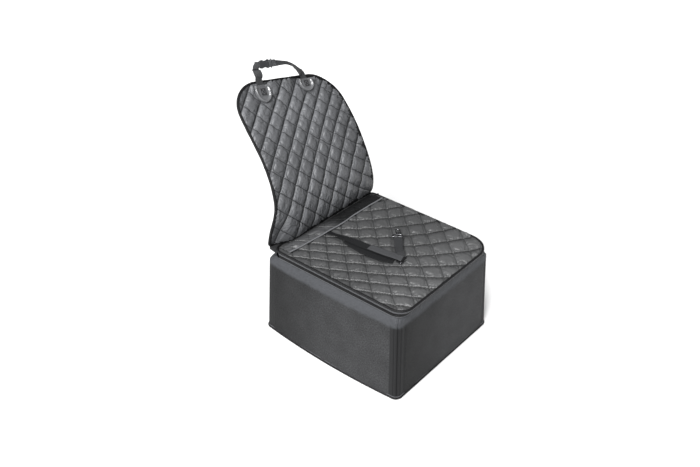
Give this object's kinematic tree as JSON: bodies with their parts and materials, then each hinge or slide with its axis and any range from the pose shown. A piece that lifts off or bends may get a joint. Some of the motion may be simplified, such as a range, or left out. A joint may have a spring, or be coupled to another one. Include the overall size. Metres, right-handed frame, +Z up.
{
  "type": "dog car seat",
  "caption": "Soft box car seat for a dog: zipped quilted lid to sit on, quilted back protector with a headrest strap, and a tether with a snap hook.",
  "frame": {"origin": "on the ground, under the middle of the object's overall box", "axes": "+Z up; the box's front wall faces -Y and the back protector stands at the +Y end; +X is on the right of someone who stands in front of the seat and looks at it"},
  "size_m": [0.5499, 0.7654, 0.8511],
  "materials": {
    "oxford_fabric": "coated woven fabric, dark grey, slight sheen",
    "quilted_fabric": "diamond quilted woven fabric, slate grey",
    "lining_fabric": "plain woven lining, dark grey",
    "piping": "woven tape over a round cord, near black",
    "zip_tape": "woven zip tape with moulded teeth, near black",
    "webbing": "flat woven webbing, charcoal",
    "webbing_loop": "woven webbing, mid grey",
    "stiffener_board": "foamed polymer board",
    "foam": "soft padding",
    "non_slip_base": "dotted non-slip cloth",
    "anchor_rubber": "moulded rubber-like polymer with a glossy rim",
    "buckle_plastic": "moulded plastic, satin",
    "zip_metal": "dark plated metal",
    "snap_metal": "polished plated metal"
  },
  "bodies": {
    "box": {"base_panel": "non_slip_base", "base_binding": "piping", "floor_board": "stiffener_board", "lining_bag": "lining_fabric", "wall_cover_front": "oxford_fabric", "wall_cover_right": "oxford_fabric", "wall_cover_back": "oxford_fabric", "wall_cover_left": "oxford_fabric", "stiffener_board_front": "stiffener_board", "stiffener_board_right": "stiffener_board", "stiffener_board_back": "stiffener_board", "stiffener_board_left": "stiffener_board", "corner_seam_tape_front_left": "zip_tape", "corner_seam_tape_front_right": "zip_tape", "corner_seam_tape_rear_right": "zip_tape", "corner_seam_tape_rear_left": "zip_tape", "zip_tape_lower": "zip_tape", "hinge_tape": "zip_tape"},
    "zip_slider": {"zip_slider_body": "zip_metal"},
    "zip_pull": {"zip_pull_tab": "zip_metal"},
    "lid": {"zip_tape_upper": "zip_tape", "lid_lining": "lining_fabric", "lid_board": "stiffener_board", "seat_foam": "foam", "seat_cover": "quilted_fabric", "lid_piping": "piping", "slot_flap": "quilted_fabric", "slot_flap_piping": "piping", "tether_web": "webbing", "tether_return": "webbing", "tether_tail": "webbing_loop", "tether_adjuster": "zip_metal", "tether_leg": "webbing", "hook_eye": "snap_metal"},
    "hook": {"hook_body": "snap_metal"},
    "hook_latch": {"hook_gate": "snap_metal"},
    "backrest": {"back_lining": "lining_fabric", "back_padding": "foam", "back_cover": "quilted_fabric", "back_piping": "piping", "anchor_patch_left": "anchor_rubber", "anchor_patch_right": "anchor_rubber"},
    "strap_left": {"strap_web_left": "webbing", "buckle_female": "buckle_plastic"},
    "strap_right": {"strap_web_right": "webbing"},
    "buckle_plug": {"buckle_male": "buckle_plastic"}
  },
  "joints": [
    {"name": "lid_hinge", "type": "hinge", "parent": "box", "child": "lid", "pos_m": [0.0034, 0.1549, 0.306], "axis": [-1, 0, 0], "range_deg": [0, 75]},
    {"name": "backrest_fold", "type": "hinge", "parent": "lid", "child": "backrest", "pos_m": [0.0034, 0.1339, 0.33], "axis": [1, 0, 0], "range_deg": [-6, 45]},
    {"name": "strap_swing", "type": "hinge", "parent": "backrest", "child": "strap_right", "pos_m": [0.12149, 0.34625, 0.74259], "axis": [0.9821, -0.0111, -0.1881], "range_deg": [-5, 60]},
    {"name": "strap_swing_left", "type": "hinge", "parent": "backrest", "child": "strap_left", "pos_m": [-0.07934, 0.34853, 0.78106], "axis": [0.9821, -0.0111, -0.1881], "range_deg": [-5, 60]},
    {"name": "buckle_release", "type": "slide", "parent": "strap_right", "child": "buckle_plug", "axis": [0.8293, -0.5575, 0.038], "range_m": [0, 0.026], "deforming": ["strap_web_right"]},
    {"name": "zip_slide", "type": "slide", "parent": "box", "child": "zip_slider", "axis": [-0.0116, -0.9999, 0], "range_m": [0, 0.38]},
    {"name": "zip_pull_hinge", "type": "hinge", "parent": "zip_slider", "child": "zip_pull", "pos_m": [0.2579, 0.1149, 0.308], "axis": [0, 1, 0], "range_deg": [0, 130]},
    {"name": "hook_swivel", "type": "hinge", "parent": "lid", "child": "hook", "pos_m": [0.06363, -0.11742, 0.3465], "axis": [0.7779, 0.6283, 0], "continuous": true},
    {"name": "hook_gate_hinge", "type": "hinge", "parent": "hook", "child": "hook_latch", "pos_m": [0.0667, -0.10789, 0.3465], "axis": [0, 0, -1], "range_deg": [0, 28], "stiffness_Nm_per_rad": 0.02}
  ],
  "couplings": [
    {"joint": "strap_swing_left", "follows": "strap_swing", "ratio": 1}
  ]
}
